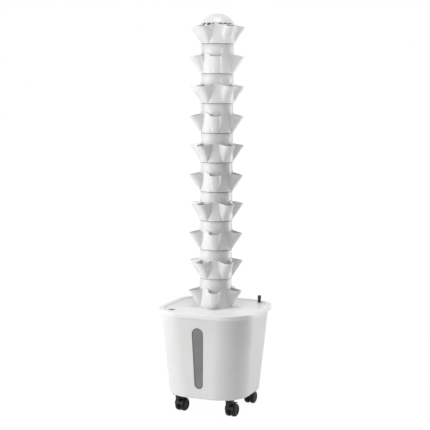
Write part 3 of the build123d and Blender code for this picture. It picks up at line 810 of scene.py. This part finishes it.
paper = bpy.data.materials.new("studio_paper")
paper.use_nodes = True
tree = paper.node_tree
tree.nodes.remove(tree.nodes["Principled BSDF"])
reach = add_node(tree, "ShaderNodeVectorMath", {"operation": "LENGTH"}, Vector=object_place(tree))
far_off = Wire(tree, reach.outputs["Value"]).ramp(PAPER_NEAR, PAPER_FAR)
glow = add_node(tree, "ShaderNodeEmission", Color=WHITE,
                Strength=far_off * (1 - PAPER_GLOW) + PAPER_GLOW)
shade = add_node(tree, "ShaderNodeBsdfDiffuse", Color=grey(PAPER_SHADE))
bounce = add_node(tree, "ShaderNodeBsdfDiffuse", Color=grey(FLOOR_BOUNCE))
both = tree.nodes.new("ShaderNodeAddShader")
choose = tree.nodes.new("ShaderNodeMixShader")
for socket, value in ((both.inputs[0], glow.outputs[0]), (both.inputs[1], shade.outputs[0]),
                      (choose.inputs[0], seen_directly(tree)), (choose.inputs[1], bounce.outputs[0]),
                      (choose.inputs[2], both.outputs[0]),
                      (tree.nodes["Material Output"].inputs["Surface"], choose.outputs[0])):
    feed(tree, socket, value)
floor_mesh.materials.append(paper)
print("paper glow", PAPER_GLOW, "near the tower")

# %% [markdown]
# ## Sky
# The sky is white where it is looked at, like the paper, and a low, even fill everywhere else, so that
# the shaded sides of the layers stay readable.

# %% Even sky
SKY_FILL = 0.205

world = bpy.data.worlds.new("studio_sky")
bpy.context.scene.world = world
world.use_nodes = True
tree = world.node_tree
sky = tree.nodes["Background"]
sky.inputs["Color"].default_value = WHITE
feed(tree, sky.inputs["Strength"], seen_directly(tree) * (1 - SKY_FILL) + SKY_FILL)
print("sky fill", SKY_FILL)

# %% [markdown]
# ## Camera
# The photograph was taken from the right of the level window and from a little under the tower's top. Its
# place was fitted to the seams of the layers, the lid and the tank's edges. The focal length is known in
# pixels of the picture, and Blender wants it in millimetres of its sensor.

# %% Camera at the photograph's place
IMAGE_SIDE = 430
FOCAL_PIXELS = 1195.7
CAMERA_DISTANCE = 4.095
CAMERA_HEIGHT = 1.1385
CAMERA_SIDESTEP = -0.0041
CAMERA_TURN = radians(22.0)
CAMERA_PITCH = radians(6.39)
CAMERA_ROLL = radians(0.447)
VIEW_END = 100

view_right = Vector((cos(CAMERA_TURN), sin(CAMERA_TURN), 0))
view_ahead = Vector((-sin(CAMERA_TURN), cos(CAMERA_TURN), 0))
lens = bpy.data.cameras.new("photo_camera")
lens.sensor_fit = "HORIZONTAL"
lens.lens = FOCAL_PIXELS / IMAGE_SIDE * lens.sensor_width
lens.clip_end = VIEW_END
camera = bpy.data.objects.new("photo_camera", lens)
bpy.context.scene.collection.objects.link(camera)
spot = view_right * CAMERA_SIDESTEP - view_ahead * CAMERA_DISTANCE + Vector((0, 0, CAMERA_HEIGHT))
turn = Matrix.Rotation(CAMERA_TURN, 4, "Z") @ Matrix.Rotation(pi / 2 - CAMERA_PITCH, 4, "X")
camera.matrix_world = Matrix.Translation(spot) @ turn @ Matrix.Rotation(CAMERA_ROLL, 4, "Z")
bpy.context.scene.camera = camera
print("camera at", [round(c, 3) for c in spot])

# %% [markdown]
# ## Lamps
# Four soft boxes light the tower. A wide one on the left makes the bright side, and a smaller one behind
# on the right brings the far edges back. A large one high above lights the lid and the upper sides, and
# a small, narrow one at the front right lifts only the two top layers. One sun would be simpler, but its
# shadows would be hard.

# %% Soft boxes


def soft_box(name, bearing, distance, height, aim_height, wide, tall, power, spread=180):
    """An area lamp aimed at the tower's axis.

    The bearing is in degrees from the line of sight, with the left negative.
    """
    lamp = bpy.data.lights.new(name, "AREA")
    lamp.shape = "RECTANGLE"
    lamp.size = wide
    lamp.size_y = tall
    lamp.energy = power
    lamp.spread = radians(spread)
    holder = bpy.data.objects.new(name, lamp)
    bpy.context.scene.collection.objects.link(holder)
    out = view_right * sin(radians(bearing)) - view_ahead * cos(radians(bearing))
    position = out * distance + Vector((0, 0, height))
    aim = Vector((0, 0, aim_height)) - position
    holder.matrix_world = Matrix.Translation(position) @ aim.to_track_quat("-Z", "Y").to_matrix().to_4x4()


soft_box("key_left", bearing=-72, distance=2.6, height=0.7, aim_height=0.42, wide=2.4, tall=2.0,
         power=56)
soft_box("edge_right", bearing=116, distance=1.9, height=0.55, aim_height=0.45, wide=0.8, tall=1.5,
         power=17)
soft_box("top_soft", bearing=8, distance=1.6, height=9.0, aim_height=0.9, wide=3.6, tall=3.6,
         power=415)
soft_box("top_front", bearing=32, distance=2.4, height=1.0, aim_height=1.25, wide=0.30, tall=0.16,
         power=0.115, spread=16)
bpy.context.scene.view_settings.view_transform = "Standard"
print(len(bpy.data.lights), "soft boxes")
